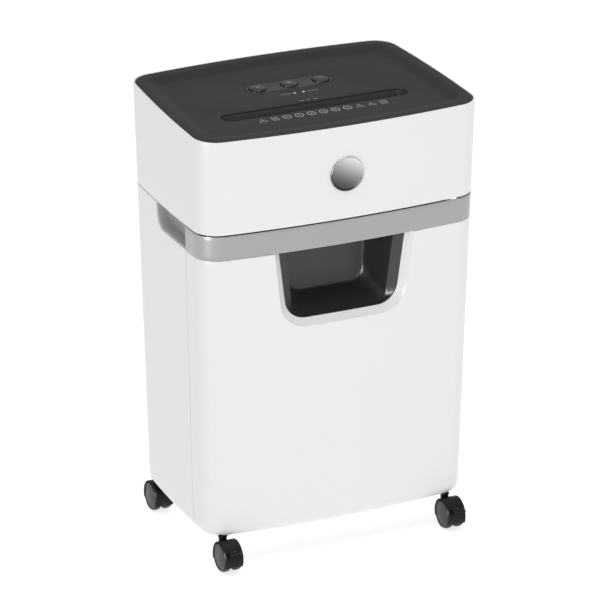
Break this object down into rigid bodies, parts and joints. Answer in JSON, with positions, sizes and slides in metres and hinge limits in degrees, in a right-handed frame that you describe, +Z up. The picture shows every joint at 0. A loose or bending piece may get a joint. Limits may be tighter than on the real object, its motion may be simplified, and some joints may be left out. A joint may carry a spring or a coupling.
{
  "type": "paper shredder",
  "caption": "Upright office paper shredder with a dished control panel, a pull-out bin behind a smoked window, and swivel casters.",
  "frame": {"origin": "on the floor, midway between the widest points of the head", "axes": "+Z up, -Y out of the front with the window, +X to the right seen from the front"},
  "size_m": [0.3574, 0.2594, 0.5427],
  "materials": {
    "white_plastic": "satin white moulded housing plastic",
    "panel_plastic": "satin dark grey",
    "strip_plastic": "dark grey, a little lighter",
    "button_plastic": "dark grey domed",
    "lamp_lens": "clear",
    "badge_chrome": "polished",
    "silver_trim": "satin silver lacquer",
    "smoked_window": "dark smoked, glossy",
    "grey_plastic": "light grey moulded",
    "bin_plastic": "dark grey moulded",
    "black_plastic": "glossy black moulded",
    "steel": "plain steel",
    "cutter_steel": "hardened steel",
    "brass": "plain bronze bushes",
    "gear_nylon": "natural nylon",
    "motor_black": "black lacquer",
    "board_green": "circuit board",
    "capacitor_skin": "grey sleeve"
  },
  "bodies": {
    "root": {"head_shell": "white_plastic", "top_panel": "panel_plastic", "control_strip": "strip_plastic", "indicator_lenses": "lamp_lens", "throat_chute": "panel_plastic", "badge": "badge_chrome", "power_inlet": "black_plastic", "cabinet_body": "white_plastic", "grip_left": "grey_plastic", "grip_right": "grey_plastic", "base_tray": "black_plastic", "caster_sockets": "grey_plastic", "drawer_rails": "grey_plastic", "idler_pin": "steel", "motor": "motor_black", "bearing_plate_left": "steel", "bearing_plate_right": "steel", "shaft_bushes": "brass", "stripper_comb_front": "black_plastic", "stripper_comb_rear": "black_plastic", "tie_rods": "steel", "chassis_plate": "steel", "gear_cover": "steel", "run_capacitor": "capacitor_skin", "control_board": "board_green", "button_switches": "black_plastic", "board_posts": "black_plastic", "chassis_screws": "steel"},
    "drawer": {"drawer_front": "white_plastic", "silver_band": "silver_trim", "window_scoop": "smoked_window", "bin_tub": "bin_plastic"},
    "left_button": {"button_left": "button_plastic"},
    "centre_button": {"button_centre": "button_plastic"},
    "right_button": {"button_right": "button_plastic"},
    "rear_cutter": {"cutter_shaft_rear": "steel", "cutter_rear": "cutter_steel", "sync_gear_rear": "steel", "drive_gear": "gear_nylon"},
    "front_cutter": {"cutter_shaft_front": "steel", "cutter_front": "cutter_steel", "sync_gear_front": "steel"},
    "idler": {"idler_gear": "gear_nylon"},
    "motor_rotor": {"motor_pinion": "steel"},
    "caster_front_left": {"caster_hood_front_left": "black_plastic", "caster_axle_front_left": "steel"},
    "wheels_front_left": {"caster_wheels_front_left": "black_plastic"},
    "brake_left": {"brake_lever_left": "black_plastic"},
    "caster_front_right": {"caster_hood_front_right": "black_plastic", "caster_axle_front_right": "steel"},
    "wheels_front_right": {"caster_wheels_front_right": "black_plastic"},
    "brake_right": {"brake_lever_right": "black_plastic"},
    "caster_back_left": {"caster_hood_back_left": "black_plastic", "caster_axle_back_left": "steel"},
    "wheels_back_left": {"caster_wheels_back_left": "black_plastic"},
    "caster_back_right": {"caster_hood_back_right": "black_plastic", "caster_axle_back_right": "steel"},
    "wheels_back_right": {"caster_wheels_back_right": "black_plastic"}
  },
  "joints": [
    {"name": "drawer_slide", "type": "slide", "parent": "root", "child": "drawer", "axis": [0, -1, 0], "range_m": [0, 0.2]},
    {"name": "left_press", "type": "slide", "parent": "root", "child": "left_button", "axis": [0, 0.0448, -0.999], "range_m": [0, 0.0015], "stiffness_N_per_m": 600},
    {"name": "centre_press", "type": "slide", "parent": "root", "child": "centre_button", "axis": [0, 0.0448, -0.999], "range_m": [0, 0.0015], "stiffness_N_per_m": 600},
    {"name": "right_press", "type": "slide", "parent": "root", "child": "right_button", "axis": [0, 0.0448, -0.999], "range_m": [0, 0.0015], "stiffness_N_per_m": 600},
    {"name": "rear_cutter_spin", "type": "hinge", "parent": "root", "child": "rear_cutter", "pos_m": [0, -0.0136, 0.458], "axis": [1, 0, 0], "continuous": true},
    {"name": "front_cutter_spin", "type": "hinge", "parent": "root", "child": "front_cutter", "pos_m": [0, -0.0556, 0.458], "axis": [1, 0, 0], "continuous": true},
    {"name": "idler_spin", "type": "hinge", "parent": "root", "child": "idler", "pos_m": [0, 0.02164, 0.47083], "axis": [1, 0, 0], "continuous": true},
    {"name": "motor_spin", "type": "hinge", "parent": "root", "child": "motor_rotor", "pos_m": [0, 0.04754, 0.46856], "axis": [1, 0, 0], "continuous": true},
    {"name": "swivel_front_left", "type": "hinge", "parent": "root", "child": "caster_front_left", "pos_m": [-0.1455, -0.0927, 0.05], "axis": [0, 0, 1], "continuous": true},
    {"name": "roll_front_left", "type": "hinge", "parent": "caster_front_left", "child": "wheels_front_left", "pos_m": [-0.1455, -0.1077, 0.0175], "axis": [1, 0, 0], "continuous": true},
    {"name": "brake_press_left", "type": "hinge", "parent": "caster_front_left", "child": "brake_left", "pos_m": [-0.1455, -0.1283, 0.0295], "axis": [1, 0, 0], "range_deg": [0, 10]},
    {"name": "swivel_front_right", "type": "hinge", "parent": "root", "child": "caster_front_right", "pos_m": [0.1455, -0.0927, 0.05], "axis": [0, 0, 1], "continuous": true},
    {"name": "roll_front_right", "type": "hinge", "parent": "caster_front_right", "child": "wheels_front_right", "pos_m": [0.1455, -0.1077, 0.0175], "axis": [1, 0, 0], "continuous": true},
    {"name": "brake_press_right", "type": "hinge", "parent": "caster_front_right", "child": "brake_right", "pos_m": [0.1455, -0.1283, 0.0295], "axis": [1, 0, 0], "range_deg": [0, 10]},
    {"name": "swivel_back_left", "type": "hinge", "parent": "root", "child": "caster_back_left", "pos_m": [-0.1455, 0.0763, 0.05], "axis": [0, 0, 1], "continuous": true},
    {"name": "roll_back_left", "type": "hinge", "parent": "caster_back_left", "child": "wheels_back_left", "pos_m": [-0.1455, 0.0913, 0.0175], "axis": [1, 0, 0], "continuous": true},
    {"name": "swivel_back_right", "type": "hinge", "parent": "root", "child": "caster_back_right", "pos_m": [0.1455, 0.0763, 0.05], "axis": [0, 0, 1], "continuous": true},
    {"name": "roll_back_right", "type": "hinge", "parent": "caster_back_right", "child": "wheels_back_right", "pos_m": [0.1455, 0.0913, 0.0175], "axis": [1, 0, 0], "continuous": true}
  ],
  "couplings": [
    {"joint": "front_cutter_spin", "follows": "rear_cutter_spin", "ratio": -1},
    {"joint": "idler_spin", "follows": "rear_cutter_spin", "ratio": -3.2857},
    {"joint": "motor_spin", "follows": "rear_cutter_spin", "ratio": 8.9184}
  ]
}
